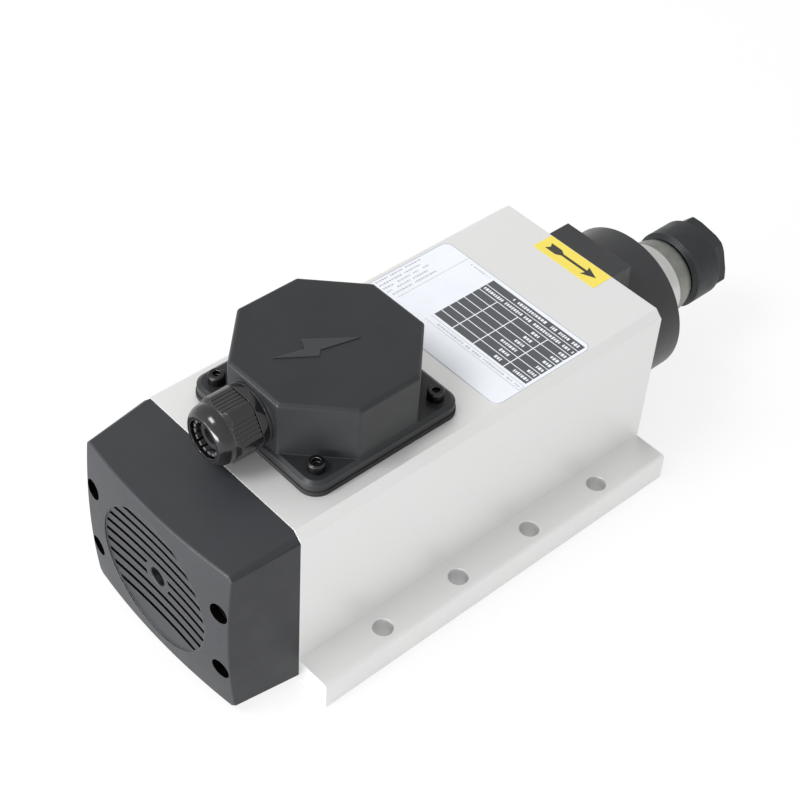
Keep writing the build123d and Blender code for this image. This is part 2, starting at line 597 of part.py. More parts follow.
nodes["gland_cap_nut"] = gland_cap_nut()
nodes["gland_locknut"] = gland_locknut()

os.makedirs("parts", exist_ok=True)
for name, shape in nodes.items():
    solids = shape if isinstance(shape, list) else [shape]
    export_step(Compound(children=[s for item in solids for s in item.solids()]), f"parts/{name}.step")
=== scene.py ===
import bpy
import bmesh
import json
import random
from math import cos, pi, radians, sin
from mathutils import Matrix, Vector


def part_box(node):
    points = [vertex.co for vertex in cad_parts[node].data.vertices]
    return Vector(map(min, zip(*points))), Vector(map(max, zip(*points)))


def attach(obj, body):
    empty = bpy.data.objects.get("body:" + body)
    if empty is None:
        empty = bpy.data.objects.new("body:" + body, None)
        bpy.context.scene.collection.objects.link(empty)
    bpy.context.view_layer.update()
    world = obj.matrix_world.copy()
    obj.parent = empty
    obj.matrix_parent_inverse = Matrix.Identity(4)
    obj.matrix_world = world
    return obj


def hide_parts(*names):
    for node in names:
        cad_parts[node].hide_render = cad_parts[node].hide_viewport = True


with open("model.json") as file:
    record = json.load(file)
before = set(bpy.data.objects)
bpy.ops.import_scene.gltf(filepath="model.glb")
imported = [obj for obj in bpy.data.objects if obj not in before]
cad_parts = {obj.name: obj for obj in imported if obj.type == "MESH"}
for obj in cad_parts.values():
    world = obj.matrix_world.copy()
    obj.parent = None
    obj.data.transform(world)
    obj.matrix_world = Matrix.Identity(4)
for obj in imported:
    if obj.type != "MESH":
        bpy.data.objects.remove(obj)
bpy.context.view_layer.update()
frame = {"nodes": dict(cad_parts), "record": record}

MM = 0.001
BODY_REAR, BODY_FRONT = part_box("motor_housing")[0].x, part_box("motor_housing")[1].x
BODY_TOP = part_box("motor_housing")[1].z
LID_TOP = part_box("terminal_box_cover")[1].z
NUT_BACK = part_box("collet_nut")[0].x
SPINDLE_Z = BODY_TOP / 2


def added(name, data):
    """A new object with this data, linked into the scene."""
    made = bpy.data.objects.new(name, data)
    bpy.context.scene.collection.objects.link(made)
    return made


# ---- camera -------------------------------------------------------------
CAMERA_AT = Vector((-0.35042, -0.348686, 0.537554))
CAMERA_FORWARD = Vector((0.50446767, 0.50947691, -0.69709802))
CAMERA_UP = Vector((0.43853096, 0.54429146, 0.71514852))
LENS, SENSOR = 77.04, 36.0
CLIP = (0.01, 20.0)


def make_camera():
    data = bpy.data.cameras.new("camera")
    data.lens, data.sensor_width = LENS, SENSOR
    data.clip_start, data.clip_end = CLIP
    camera = added("camera", data)
    right = CAMERA_FORWARD.cross(CAMERA_UP)
    turn = Matrix((right, CAMERA_UP, -CAMERA_FORWARD)).transposed()
    camera.matrix_world = Matrix.Translation(CAMERA_AT) @ turn.to_4x4()
    bpy.context.scene.camera = camera


# ---- light and floor ----------------------------------------------------
WORLD_STRENGTH = 0.78
FLOOR_HALF, FLOOR_DROP = 3.0, 0.2 * MM
FLOOR_GLOW = 0.8                          # how much of the floor is plain white to the camera


def area_light(name, at, towards, size, power):
    data = bpy.data.lights.new(name, "AREA")
    data.shape, data.size, data.size_y = "RECTANGLE", size[0], size[1]
    data.energy = power
    light = added(name, data)
    light.location = at
    light.rotation_mode = "QUATERNION"
    light.rotation_quaternion = (Vector(towards) - Vector(at)).to_track_quat("-Z", "Y")


def make_world():
    """A plain white room, which the camera sees at full white."""
    world = bpy.data.worlds.new("studio")
    bpy.context.scene.world = world
    world.use_nodes = True
    nodes, links = world.node_tree.nodes, world.node_tree.links
    background = nodes["Background"]
    background.inputs["Color"].default_value = (1, 1, 1, 1)
    path = nodes.new("ShaderNodeLightPath")
    level = nodes.new("ShaderNodeMix")
    level.inputs["A"].default_value = WORLD_STRENGTH
    level.inputs["B"].default_value = 1.0
    links.new(path.outputs["Is Camera Ray"], level.inputs["Factor"])
    links.new(level.outputs["Result"], background.inputs["Strength"])


def make_floor():
    """A pale floor that stays white to the camera and in reflections, under a soft shadow."""
    mesh = bpy.data.meshes.new("floor")
    corners = [(x * FLOOR_HALF, y * FLOOR_HALF, 0) for x, y in ((-1, -1), (1, -1), (1, 1), (-1, 1))]
    mesh.from_pydata(corners, [], [(0, 1, 2, 3)])
    floor = added("floor", mesh)
    floor.location.z = -FLOOR_DROP
    material = bpy.data.materials.new("floor")
    material.use_nodes = True
    nodes, links = material.node_tree.nodes, material.node_tree.links
    paint = nodes["Principled BSDF"]
    paint.inputs["Base Color"].default_value = (0.9, 0.9, 0.9, 1)
    paint.inputs["Roughness"].default_value = 0.9
    glow = nodes.new("ShaderNodeEmission")
    path = nodes.new("ShaderNodeLightPath")
    seen = nodes.new("ShaderNodeMath")
    seen.operation = "MAXIMUM"
    links.new(path.outputs["Is Camera Ray"], seen.inputs[0])
    links.new(path.outputs["Is Glossy Ray"], seen.inputs[1])
    share = nodes.new("ShaderNodeMath")
    share.operation = "MULTIPLY"
    share.inputs[1].default_value = FLOOR_GLOW
    links.new(seen.outputs[0], share.inputs[0])
    mix = nodes.new("ShaderNodeMixShader")
    links.new(share.outputs[0], mix.inputs[0])
    links.new(paint.outputs[0], mix.inputs[1])
    links.new(glow.outputs[0], mix.inputs[2])
    links.new(mix.outputs[0], nodes["Material Output"].inputs["Surface"])
    mesh.materials.append(material)


# ---- materials ----------------------------------------------------------
MIX_SHARE, MIX_FROM, MIX_TO, MIX_RESULT = 0, 6, 7, 2   # a colour Mix node's sockets
# The edge mask below paints a highlight along edges, which is partly edge wear.
EDGE_WEAR_AND_HIGHLIGHT_ANGLES = (0.995, 0.90)               # cosines at which an edge starts and is in full


class Paint:
    """A procedural finish, laid out in object coordinates in metres."""

    def __init__(self, name, color, roughness, metallic=0.0, **sockets):
        self.material = bpy.data.materials.new(name)
        self.material.use_nodes = True
        self.nodes = self.material.node_tree.nodes
        self.links = self.material.node_tree.links
        self.shader = self.nodes["Principled BSDF"]
        self.color, self.roughness = color, roughness
        self.shader.inputs["Metallic"].default_value = metallic
        for socket, value in sockets.items():
            self.shader.inputs[socket.replace("_", " ")].default_value = value
        self.place = self.nodes.new("ShaderNodeTexCoord").outputs["Object"]
        self.color_out, self.rough_out, self.normal = None, None, None

    def node(self, kind, **settings):
        made = self.nodes.new(kind)
        for name, value in settings.items():
            setattr(made, name, value)
        return made

    def noise(self, size, detail=3.0, rough=0.6, stretch=(1, 1, 1)):
        """Noise with features of the given size, from 0 to 1."""
        mapping = self.node("ShaderNodeMapping")
        mapping.inputs["Scale"].default_value = stretch
        self.links.new(self.place, mapping.inputs["Vector"])
        noise = self.node("ShaderNodeTexNoise")
        noise.inputs["Scale"].default_value = 1.0 / size
        noise.inputs["Detail"].default_value = detail
        noise.inputs["Roughness"].default_value = rough
        self.links.new(mapping.outputs["Vector"], noise.inputs["Vector"])
        return noise.outputs["Fac"]

    def patches(self, size, detail=4.0, low=0.35, high=0.7, rough=0.6):
        """Noise with its stretch from low to high carried onto 0 to 1."""
        return self.spread(self.noise(size, detail, rough), low, high)

    def along(self, axis):
        """The place along one axis, in metres."""
        parts = self.node("ShaderNodeSeparateXYZ")
        self.links.new(self.place, parts.inputs[0])
        return parts.outputs[axis]

    def off_axis(self):
        """The distance from the spindle axis, in metres."""
        shift = self.node("ShaderNodeVectorMath", operation="MULTIPLY_ADD")
        self.links.new(self.place, shift.inputs[0])
        shift.inputs[1].default_value = (0, 1, 1)
        shift.inputs[2].default_value = (0, 0, -SPINDLE_Z)
        length = self.node("ShaderNodeVectorMath", operation="LENGTH")
        self.links.new(shift.outputs["Vector"], length.inputs[0])
        return length.outputs["Value"]

    def maths(self, operation, *values):
        """The result of one sum on sockets and plain numbers."""
        made = self.node("ShaderNodeMath", operation=operation)
        for socket, value in zip(made.inputs, values):
            if isinstance(value, float):
                socket.default_value = value
            else:
                self.links.new(value, socket)
        return made.outputs[0]

    def spread(self, value, low, high, out_low=0.0, out_high=1.0):
        """The value's stretch from low to high, carried onto another range."""
        ramp = self.node("ShaderNodeMapRange")
        for socket, number in zip(("From Min", "From Max", "To Min", "To Max"),
                                  (low, high, out_low, out_high)):
            ramp.inputs[socket].default_value = number
        self.links.new(value, ramp.inputs["Value"])
        return ramp.outputs["Result"]

    def tint(self, value, other, amount=1.0):
        """Mixes another colour in where the value is high."""
        mix = self.node("ShaderNodeMix", data_type="RGBA")
        share = self.spread(value, 0.0, 1.0, 0.0, amount)
        self.links.new(share, mix.inputs[MIX_SHARE])
        if self.color_out is None:
            mix.inputs[MIX_FROM].default_value = (*self.color, 1)
        else:
            self.links.new(self.color_out, mix.inputs[MIX_FROM])
        mix.inputs[MIX_TO].default_value = (*other, 1)
        self.color_out = mix.outputs[MIX_RESULT]

    def polish(self, value, change):
        """Adds change to the roughness where the value is high."""
        add = self.node("ShaderNodeMath", operation="MULTIPLY_ADD")
        self.links.new(value, add.inputs[0])
        add.inputs[1].default_value = change
        if self.rough_out is None:
            add.inputs[2].default_value = self.roughness
        else:
            self.links.new(self.rough_out, add.inputs[2])
        self.rough_out = add.outputs[0]

    def bump(self, value, depth):
        """Relief of the given depth in metres."""
        bump = self.node("ShaderNodeBump")
        bump.inputs["Distance"].default_value = depth
        bump.inputs["Strength"].default_value = 1.0
        self.links.new(value, bump.inputs["Height"])
        if self.normal is not None:
            self.links.new(self.normal, bump.inputs["Normal"])
        self.normal = bump.outputs["Normal"]

    def edges(self, radius):
        """1 near an edge, 0 elsewhere; it also rounds the edge's shading."""
        bevel = self.node("ShaderNodeBevel", samples=6)
        bevel.inputs["Radius"].default_value = radius
        flat = self.node("ShaderNodeNewGeometry")
        dot = self.node("ShaderNodeVectorMath", operation="DOT_PRODUCT")
        self.links.new(bevel.outputs["Normal"], dot.inputs[0])
        self.links.new(flat.outputs["Normal"], dot.inputs[1])
        self.normal = bevel.outputs["Normal"]
        return self.spread(dot.outputs["Value"], *EDGE_WEAR_AND_HIGHLIGHT_ANGLES)

    def done(self):
        pairs = (("Base Color", self.color_out, (*self.color, 1)),
                 ("Roughness", self.rough_out, self.roughness))
        for socket, made, plain in pairs:
            if made is None:
                self.shader.inputs[socket].default_value = plain
            else:
                self.links.new(made, self.shader.inputs[socket])
        if self.normal is not None:
            self.links.new(self.normal, self.shader.inputs["Normal"])
        return self.material


def lit(color, factor, lift=0.0):
    """The colour made lighter or darker, up to white."""
    return [min(1.0, c * factor + lift) for c in color]


def blasted_aluminium():
    """Silver anodise over fine bead blasting."""
    p = Paint("anodised_body", (0.785, 0.785, 0.78), 0.44, 0.5)
    edge_wear_and_highlight = p.edges(0.45 * MM)
    speckle = p.noise(0.45 * MM, 2.0, 0.7)
    p.tint(p.spread(speckle, 0.35, 0.62), (0.73, 0.73, 0.73), 0.5)
    p.tint(p.patches(38 * MM, 3.0, 0.4), (0.77, 0.77, 0.755), 0.5)
    # Painted highlight along the edges, partly edge wear: the edges are tinted near white.
    p.tint(edge_wear_and_highlight, (0.92, 0.92, 0.92), 0.6)
    p.polish(p.spread(speckle, 0.3, 0.7), 0.10)
    p.bump(p.noise(0.5 * MM, 3.0, 0.7), 0.02 * MM)
    return p.done()


def moulded_plastic(name, color, roughness, grain=0.35 * MM, depth=0.012 * MM,
                    edge_wear_and_highlight=(0.2, 0.2, 0.21), edge_wear_and_highlight_share=0.5, lighter_above=None, shaded_recesses=None, **sockets):
    """Black or grey moulding with a fine spark-eroded texture.

    It is made lighter above a height, and its recesses are painted near black with little shine, as painted
    shade.
    """
    p = Paint(name, color, roughness, **sockets)
    edge = p.edges(0.45 * MM)
    lighter = lit(color, 1.4, 0.003)
    p.tint(p.patches(22 * MM), lighter, 0.45)
    p.tint(p.patches(grain, 2.0), lighter, 0.35)
    # Painted highlight along the edges, partly edge wear: the edges are tinted lighter.
    p.tint(edge, edge_wear_and_highlight, edge_wear_and_highlight_share)
    # Everything above the given height is tinted lighter.
    if lighter_above is not None:
        raised = p.spread(p.along("Z"), lighter_above, lighter_above + 0.1 * MM)
        p.tint(raised, lit(color, 1.0, 0.020))
    if shaded_recesses is not None:
        # Painted shade: the recesses are painted near black and their specular is cut, for the shade in
        # them.
        recess_shade = shaded_recesses(p)
        p.tint(recess_shade, (0.001, 0.001, 0.001))
        shine = p.spread(recess_shade, 0.0, 1.0, sockets["Specular_IOR_Level"], 0.05)
        p.links.new(shine, p.shader.inputs["Specular IOR Level"])
    p.polish(p.patches(9 * MM), 0.07)
    p.polish(edge, -0.08)
    p.bump(p.noise(grain, 2.0), depth)
    return p.done()


# The fan cover: its dome and taper, the dish of its grille and its screw holes
COVER_APEX, DOME_R = BODY_REAR - 33.6 * MM, 320 * MM
COVER_SLOPE_Y, COVER_SLOPE_Z = 0.0968, 0.1514
GRILLE_R, DISH_R, DISH_DEPTH = 31.0 * MM, 370 * MM, 3.4 * MM
COVER_SCREW_Y, COVER_SCREW_Z, SCREW_HOLE_R = 38.5 * MM, 16.0 * MM, 4.3 * MM


def cover_recess_shade(p):
    """1 in the fan cover's grooves, hub hole and screw holes, and 0 elsewhere: where painted shade goes."""
    r = p.off_axis()
    floor = p.maths("MULTIPLY_ADD", p.maths("MULTIPLY", r, r), -0.5 / DISH_R, COVER_APEX + DISH_DEPTH)
    below = p.spread(p.maths("SUBTRACT", p.along("X"), floor), 0.2 * MM, 0.45 * MM)
    grooves = p.maths("MULTIPLY", below, p.spread(r, GRILLE_R, GRILLE_R - 0.3 * MM))
    out = p.maths("ABSOLUTE", p.along("Y"))
    up = p.maths("ABSOLUTE", p.maths("SUBTRACT", p.along("Z"), SPINDLE_Z))
    dy, dz = p.maths("SUBTRACT", out, COVER_SCREW_Y), p.maths("SUBTRACT", up, COVER_SCREW_Z)
    off = p.maths("SQRT", p.maths("ADD", p.maths("MULTIPLY", dy, dy), p.maths("MULTIPLY", dz, dz)))
    holes = p.spread(off, SCREW_HOLE_R + 0.12 * MM, SCREW_HOLE_R + 0.04 * MM)
    return p.maths("MAXIMUM", grooves, holes)


def satin_black():
    """Black coat on a turned aluminium casting."""
    p = Paint("black_casting", (0.016, 0.017, 0.019), 0.30, 0.0, Specular_IOR_Level=0.55)
    edge = p.edges(0.35 * MM)
    p.tint(p.patches(16 * MM), (0.022, 0.022, 0.024), 0.6)
    # Painted highlight along the edges, partly wear of the coat.
    p.tint(edge, (0.12, 0.12, 0.125), 0.4)
    turned = p.noise(0.5 * MM, 2.0, 0.5, (1.0, 0.04, 0.04))
    p.polish(p.spread(turned, 0.3, 0.7), 0.10)
    p.bump(turned, 0.004 * MM)
    return p.done()


def turned_steel(name, color, roughness, marks=0.12, stain=(0.45, 0.43, 0.40), edge_wear_and_highlight_share=0.35,
                 lay=(1.0, 0.03, 0.03)):
    """Turned or ground steel, with fine marks round the spindle axis."""
    p = Paint(name, color, roughness, 1.0)
    edge = p.edges(0.30 * MM)
    rings = p.noise(0.35 * MM, 3.0, 0.6, lay)
    p.tint(p.spread(rings, 0.3, 0.75), lit(color, 0.75), 0.6)
    p.tint(p.patches(7 * MM, 5.0, 0.45, 0.75, 0.65), stain, 0.35)
    # Painted highlight along the edges, partly edge wear.
    p.tint(edge, lit(color, 1.5, 0.15), edge_wear_and_highlight_share)
    p.polish(p.spread(rings, 0.3, 0.7), marks)
    p.polish(p.patches(5 * MM, low=0.4), 0.12)
    p.bump(rings, 0.004 * MM)
    return p.done()


def cast_metal(name, color, roughness):
    """Bare die-cast metal with a grainy skin."""
    p = Paint(name, color, roughness, 1.0)
    spots = p.noise(0.6 * MM, 4.0, 0.65)
    p.tint(p.spread(spots, 0.35, 0.7), lit(color, 0.6), 0.6)
    p.tint(p.patches(12 * MM, low=0.4), lit(color, 1.3), 0.4)
    p.polish(p.spread(spots, 0.3, 0.7), 0.15)
    p.bump(spots, 0.03 * MM)
    return p.done()


def laminated_steel():
    """Stacked sheets seen edge on, with a thin varnish."""
    p = Paint("lamination_steel", (0.28, 0.28, 0.29), 0.42, 1.0, Coat_Weight=0.2)
    sheets = p.noise(0.5 * MM, 1.0, 0.4, (1.0, 0.002, 0.002))
    p.tint(p.spread(sheets, 0.4, 0.6), (0.12, 0.115, 0.11), 0.7)
    p.polish(p.patches(6 * MM, low=0.4), 0.15)
    p.bump(sheets, 0.02 * MM)
    return p.done()


def copper_windings():
    """Varnished wires laid side by side."""
    p = Paint("winding_copper", (0.50, 0.17, 0.06), 0.30, 0.85, Coat_Weight=0.5)
    wires = p.noise(0.9 * MM, 1.0, 0.3, (0.15, 1.0, 1.0))
    p.tint(p.spread(wires, 0.4, 0.65), (0.20, 0.05, 0.02), 0.8)
    p.tint(p.patches(14 * MM, low=0.45), (0.62, 0.30, 0.12), 0.4)
    p.polish(p.spread(wires, 0.3, 0.7), 0.10)
    p.bump(wires, 0.15 * MM)
    return p.done()


def soft_rubber(name, color, shine=0.3):
    """Matt black rubber, a little dusty."""
    p = Paint(name, color, 0.75, Specular_IOR_Level=shine)
    p.tint(p.patches(5 * MM, low=0.4), lit(color, 1.2, 0.01), 0.5)
    p.polish(p.patches(2 * MM, 3.0, 0.3), 0.12)
    p.bump(p.noise(0.4 * MM, 2.0), 0.01 * MM)
    return p.done()


def printed(name, color, roughness=0.38):
    """Ink or film on a self-adhesive label, a little uneven and scuffed."""
    p = Paint(name, color, roughness)
    p.tint(p.patches(9 * MM, low=0.4), lit(color, 0.9), 0.4)
    p.tint(p.patches(0.5 * MM, 2.0, 0.4), lit(color, 1.06), 0.5)
    p.polish(p.patches(3 * MM, low=0.4), 0.14)
    p.bump(p.noise(0.8 * MM, 2.0), 0.003 * MM)
    return p.done()


def make_finishes():
    """One finish for each material slot of the record, and one for the gland's seal."""
    return {
        "anodised_body": blasted_aluminium(),
        "black_casting": satin_black(),
        # The screws carry a strong painted highlight on their rims.
        "black_screws": turned_steel("black_screws", (0.045, 0.045, 0.047), 0.26, marks=0.08,
                                     stain=(0.02, 0.02, 0.02), edge_wear_and_highlight_share=0.9),
        "zinc_screws": turned_steel("zinc_screws", (0.55, 0.55, 0.53), 0.30),
        "ground_steel": turned_steel("ground_steel", (0.68, 0.68, 0.66), 0.20),
        "nut_steel": turned_steel("nut_steel", (0.062, 0.066, 0.068), 0.38, marks=0.10,
                                  stain=(0.045, 0.045, 0.046), edge_wear_and_highlight_share=0.45),
        "collet_steel": turned_steel("collet_steel", (0.60, 0.60, 0.58), 0.22),
        "bearing_steel": turned_steel("bearing_steel", (0.70, 0.70, 0.70), 0.12, marks=0.05),
        "lamination_steel": laminated_steel(),
        "cast_cage": cast_metal("cast_cage", (0.62, 0.62, 0.62), 0.45),
        "winding_copper": copper_windings(),
        "stud_brass": turned_steel("stud_brass", (0.70, 0.52, 0.22), 0.28, marks=0.1,
                                   stain=(0.45, 0.30, 0.12), edge_wear_and_highlight_share=0.2, lay=(0.03, 0.03, 1.0)),
        "fan_plastic": moulded_plastic("fan_plastic", (0.012, 0.012, 0.012), 0.5),
        "cover_plastic": moulded_plastic("cover_plastic", (0.013, 0.014, 0.017), 0.48, edge_wear_and_highlight_share=0.25,
                                         shaded_recesses=cover_recess_shade, Specular_IOR_Level=0.5),
        "box_plastic": moulded_plastic("box_plastic", (0.0165, 0.0175, 0.019), 0.36, edge_wear_and_highlight_share=0.2,
                                       lighter_above=LID_TOP - 0.2 * MM, Specular_IOR_Level=0.34),
        "block_plastic": moulded_plastic("block_plastic", (0.50, 0.44, 0.33), 0.5,
                                         edge_wear_and_highlight=(0.7, 0.65, 0.5)),
        "gasket_rubber": soft_rubber("gasket_rubber", (0.02, 0.02, 0.02)),
        "gland_plastic": moulded_plastic("gland_plastic", (0.008, 0.008, 0.009), 0.14, grain=0.8 * MM,
                                         depth=0.006 * MM, edge_wear_and_highlight_share=0.25, Specular_IOR_Level=0.6),
        "claw_plastic": moulded_plastic("claw_plastic", (0.07, 0.072, 0.076), 0.35,
                                        edge_wear_and_highlight=(0.2, 0.2, 0.2)),
        "seal_rubber": soft_rubber("seal_rubber", (0.022, 0.023, 0.024), 0.1),
        "rating_plate": printed("rating_plate", (0.79, 0.82, 0.87)),
        "arrow_sticker": printed("arrow_sticker", (0.83, 0.68, 0.10)),
        "lead_sleeve": moulded_plastic("lead_sleeve", (0.42, 0.03, 0.02), 0.35, edge_wear_and_highlight=(0.5, 0.1, 0.08)),
    }


def dress():
    """Gives each CAD node the finish of its slot."""
    for sub in frame["record"]["subparts"]:
        node = frame["nodes"][sub["node"]]
        slot = "seal_rubber" if sub["node"] == "gland_seal" else sub["material_slot"]
        node.data.materials.clear()
        node.data.materials.append(finishes[slot])


# ---- labels on the body's top, in millimetres ----------------------------
LABEL_T, INK_T = 0.10 * MM, 0.03 * MM
PLATE_X, PLATE_Y, PLATE_CORNER = (4.0, 57.0), (-42.9, 41.5), 3.5
RULE, BORDER = 0.2, 0.3                   # widths of the ruled lines and of the plate's border
STRIP_X, STRIP_Y = (16.8, 20.1), (-41.8, 11.2)         # ruled box for one line of print
DIVIDER_X, DIVIDER_Y = (17.0, 56.5), 27.6
NOTE_LINES, NOTE_X, NOTE_PITCH = 5, 39.8, 2.4
TABLE_X, TABLE_Y, TABLE_ROWS = (21.3, 55.0), (-41.4, 11.2), 8
TABLE_SPLITS = (-28.6, -11.6, 0.3)        # lines between the table's columns
CELL_GAP_X, CELL_GAP_Y = 0.22, 0.25
ENTRY_Y = (-40.4, -25.5)                  # where the entries of the first two columns start
TABLE_PRINT, STRIP_PRINT, CORNER_PRINT = (1.7, 0.85, 0.4), (1.0, 0.6, 0.5), (0.8, 0.5, 0.4)
GREEKED_GAPS = 0.12                       # share of blocks left out, as between words
STICKER_X, STICKER_Y, STICKER_CORNER = (83.7, 94.8), (-18.2, 16.8), 0.6
ARROW = ((89.1, -14.6), (92.0, -8.0), (89.8, -8.9), (89.8, 4.8), (91.2, 7.0), (91.2, 13.0),
         (89.1, 11.7), (87.0, 13.0), (87.0, 7.0), (88.4, 4.8), (88.4, -8.9), (86.2, -8.0))


def rounded(xs, ys, radius, steps=6):
    """Corner points of a rounded rectangle."""
    points = []
    corners = ((xs[1], ys[1], 0), (xs[0], ys[1], 90), (xs[0], ys[0], 180), (xs[1], ys[0], 270))
    for x, y, start in corners:
        cx = x - radius if x == xs[1] else x + radius
        cy = y - radius if y == ys[1] else y + radius
        for i in range(steps + 1):
            angle = radians(start + 90.0 * i / steps)
            points.append((cx + radius * cos(angle), cy + radius * sin(angle)))
    return points


def ring(outer, inner):
    """Four-sided strips between two outlines with the same number of points."""
    count = len(outer)
    return [(outer[i], outer[(i + 1) % count], inner[(i + 1) % count], inner[i]) for i in range(count)]


def bar(x0, x1, y0, y1):
    return ((x0, y0), (x1, y0), (x1, y1), (x0, y1))


def prism(shape, base, lid):
    """A closed solid between two outlines with the same number of points."""
    low = [shape.verts.new(point) for point in base]
    high = [shape.verts.new(point) for point in lid]
    shape.faces.new(high)
    shape.faces.new(low[::-1])
    for i in range(len(low)):
        j = (i + 1) % len(low)
        shape.faces.new((low[i], low[j], high[j], high[i]))


def film(name, outlines, low, high, finish):
    """Thin closed pieces of film on the body's top."""
    mesh = bpy.data.meshes.new(name)
    shape = bmesh.new()
    for outline in outlines:
        prism(shape, *([(x * MM, y * MM, BODY_TOP + z) for x, y in outline] for z in (low, high)))
    bmesh.ops.recalc_face_normals(shape, faces=shape.faces)
    shape.to_mesh(mesh)
    shape.free()
    piece = added(name, mesh)
    mesh.materials.append(finish)
    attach(piece, "root")


def greeked(rng, x, y0, y1, tall, wide, gap, along_x=False):
    """A line of plain blocks that stands for small print."""
    bars, y = [], y0
    while y + wide < y1:
        width = wide * rng.uniform(0.6, 1.5)
        if rng.random() > GREEKED_GAPS:
            high = tall * rng.uniform(0.75, 1.0)
            across, line = (x - high / 2, x + high / 2), (y, y + width)
            bars.append(bar(*line, *across) if along_x else bar(*across, *line))
        y += width + gap
    return bars


def plate_rules(rng):
    """The plate's border, ruled lines and fine print."""
    insets = (0, BORDER)
    lines = ring(*(rounded((PLATE_X[0] + d, PLATE_X[1] - d), (PLATE_Y[0] + d, PLATE_Y[1] - d),
                           PLATE_CORNER - d) for d in insets))
    lines += [bar(STRIP_X[0], STRIP_X[0] + RULE, *STRIP_Y), bar(STRIP_X[1] - RULE, STRIP_X[1], *STRIP_Y),
              bar(*STRIP_X, STRIP_Y[0] - RULE, STRIP_Y[0]),
              bar(*DIVIDER_X, DIVIDER_Y, DIVIDER_Y + RULE)]
    lines += greeked(rng, 18.4, -40.6, 8.0, *STRIP_PRINT)
    lines += greeked(rng, 54.6, 13.0, 24.5, *CORNER_PRINT)
    for row in range(NOTE_LINES):
        end = 40.5 - 2.5 * (row % 2)
        lines += greeked(rng, NOTE_X - NOTE_PITCH * row, 15.5, end, *STRIP_PRINT, along_x=True)
    return lines


def plate_table(rng):
    """The dark cells of the plate's table, and the print in them."""
    pitch = (TABLE_X[1] - TABLE_X[0]) / TABLE_ROWS
    splits = (TABLE_Y[0], *TABLE_SPLITS, TABLE_Y[1])
    cells, marks = [], []
    for row in range(TABLE_ROWS):
        x0 = TABLE_X[0] + pitch * row
        middle = x0 + pitch / 2
        title = row >= TABLE_ROWS - 2
        columns = [(splits[0], splits[-1])] if title else zip(splits, splits[1:])
        cells += [bar(x0 + CELL_GAP_X, x0 + pitch - CELL_GAP_X, a + CELL_GAP_Y, b - CELL_GAP_Y)
                  for a, b in columns]
        if title:
            end = -1.5 if row == TABLE_ROWS - 1 else 10.5
            marks += greeked(rng, middle, ENTRY_Y[0], end, *TABLE_PRINT)
        else:
            lengths = (8.5 if row == 0 else 4.0, 8.5 if row == 2 else 5.0)
            for start, length in zip(ENTRY_Y, lengths):
                marks += greeked(rng, middle, start, start + length, *TABLE_PRINT)
    return cells, marks


def rating_plate():
    """A plain rating plate: a dark table with greeked entries and no words."""
    rng = random.Random(7)
    paper, dark = finishes["rating_plate"], printed("plate_ink", (0.078, 0.081, 0.088), 0.45)
    grey = printed("plate_fine_print", (0.42, 0.43, 0.45), 0.45)
    ink_top, print_top = LABEL_T + INK_T, LABEL_T + 2 * INK_T
    film("plate_film", [rounded(PLATE_X, PLATE_Y, PLATE_CORNER)], 0, LABEL_T, paper)
    film("plate_lines", plate_rules(rng), LABEL_T, ink_top, grey)
    cells, marks = plate_table(rng)
    film("plate_table", cells, LABEL_T, ink_top, dark)
    film("plate_entries", marks, ink_top, print_top, paper)


def rotation_sticker():
    """The yellow sticker with the arrow that shows which way the spindle turns."""
    black = printed("arrow_ink", (0.035, 0.035, 0.03), 0.45)
    film("arrow_film", [rounded(STICKER_X, STICKER_Y, STICKER_CORNER, 3)], 0, LABEL_T,
         finishes["arrow_sticker"])
    film("arrow", [ARROW], LABEL_T, LABEL_T + INK_T, black)


# ---- pieces reworked from the CAD nodes ---------------------------------
RIM_R, RIM_X, RIM_REACH = (31.4 * MM, 33.3 * MM), COVER_APEX + 1.65 * MM, 0.12 * MM
CORNER_SHARE = 8 * MM                     # how far |y| - |z| runs across a corner face
CORNER_START = 0.5 * MM                   # and where it starts, at the cover's open end
CORNER_Y = 38 * MM                        # no corner face lies nearer the middle
BOSS_CAD_R, BOSS_R, BOSS_FILLET = 33.0 * MM, 34.1 * MM, 4.5 * MM
BOSS_BAND = (31.3 * MM, 37.6 * MM)        # radii between which points may move
LID_DROP = 0.4 * MM                       # the lid lies this far below the top of its relief
LID_DEPTH = 2.5 * MM                      # the part of the hood that is lowered
RELIEF = ((-21.7, 5.2), (-9.5, 1.5), (-7.1, 6.6), (10.5, -6.3), (-5.2, -2.3), (-7.6, -4.6))
RELIEF_ROOT, RELIEF_FLARE = 0.2 * MM, 1.02             # its base lies in the lid, a little wider


def reshaped(node, name, slot, move):
    """A copy of a node's mesh with its points moved, which stands for the node."""
    mesh = frame["nodes"][node].data.copy()
    mesh.name = name
    for vertex in mesh.vertices:
        vertex.co = move(vertex.co)
    mesh.materials.clear()
    mesh.materials.append(finishes[slot])
    piece = added(name, mesh)
    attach(piece, "root")
    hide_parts(node)
    return piece


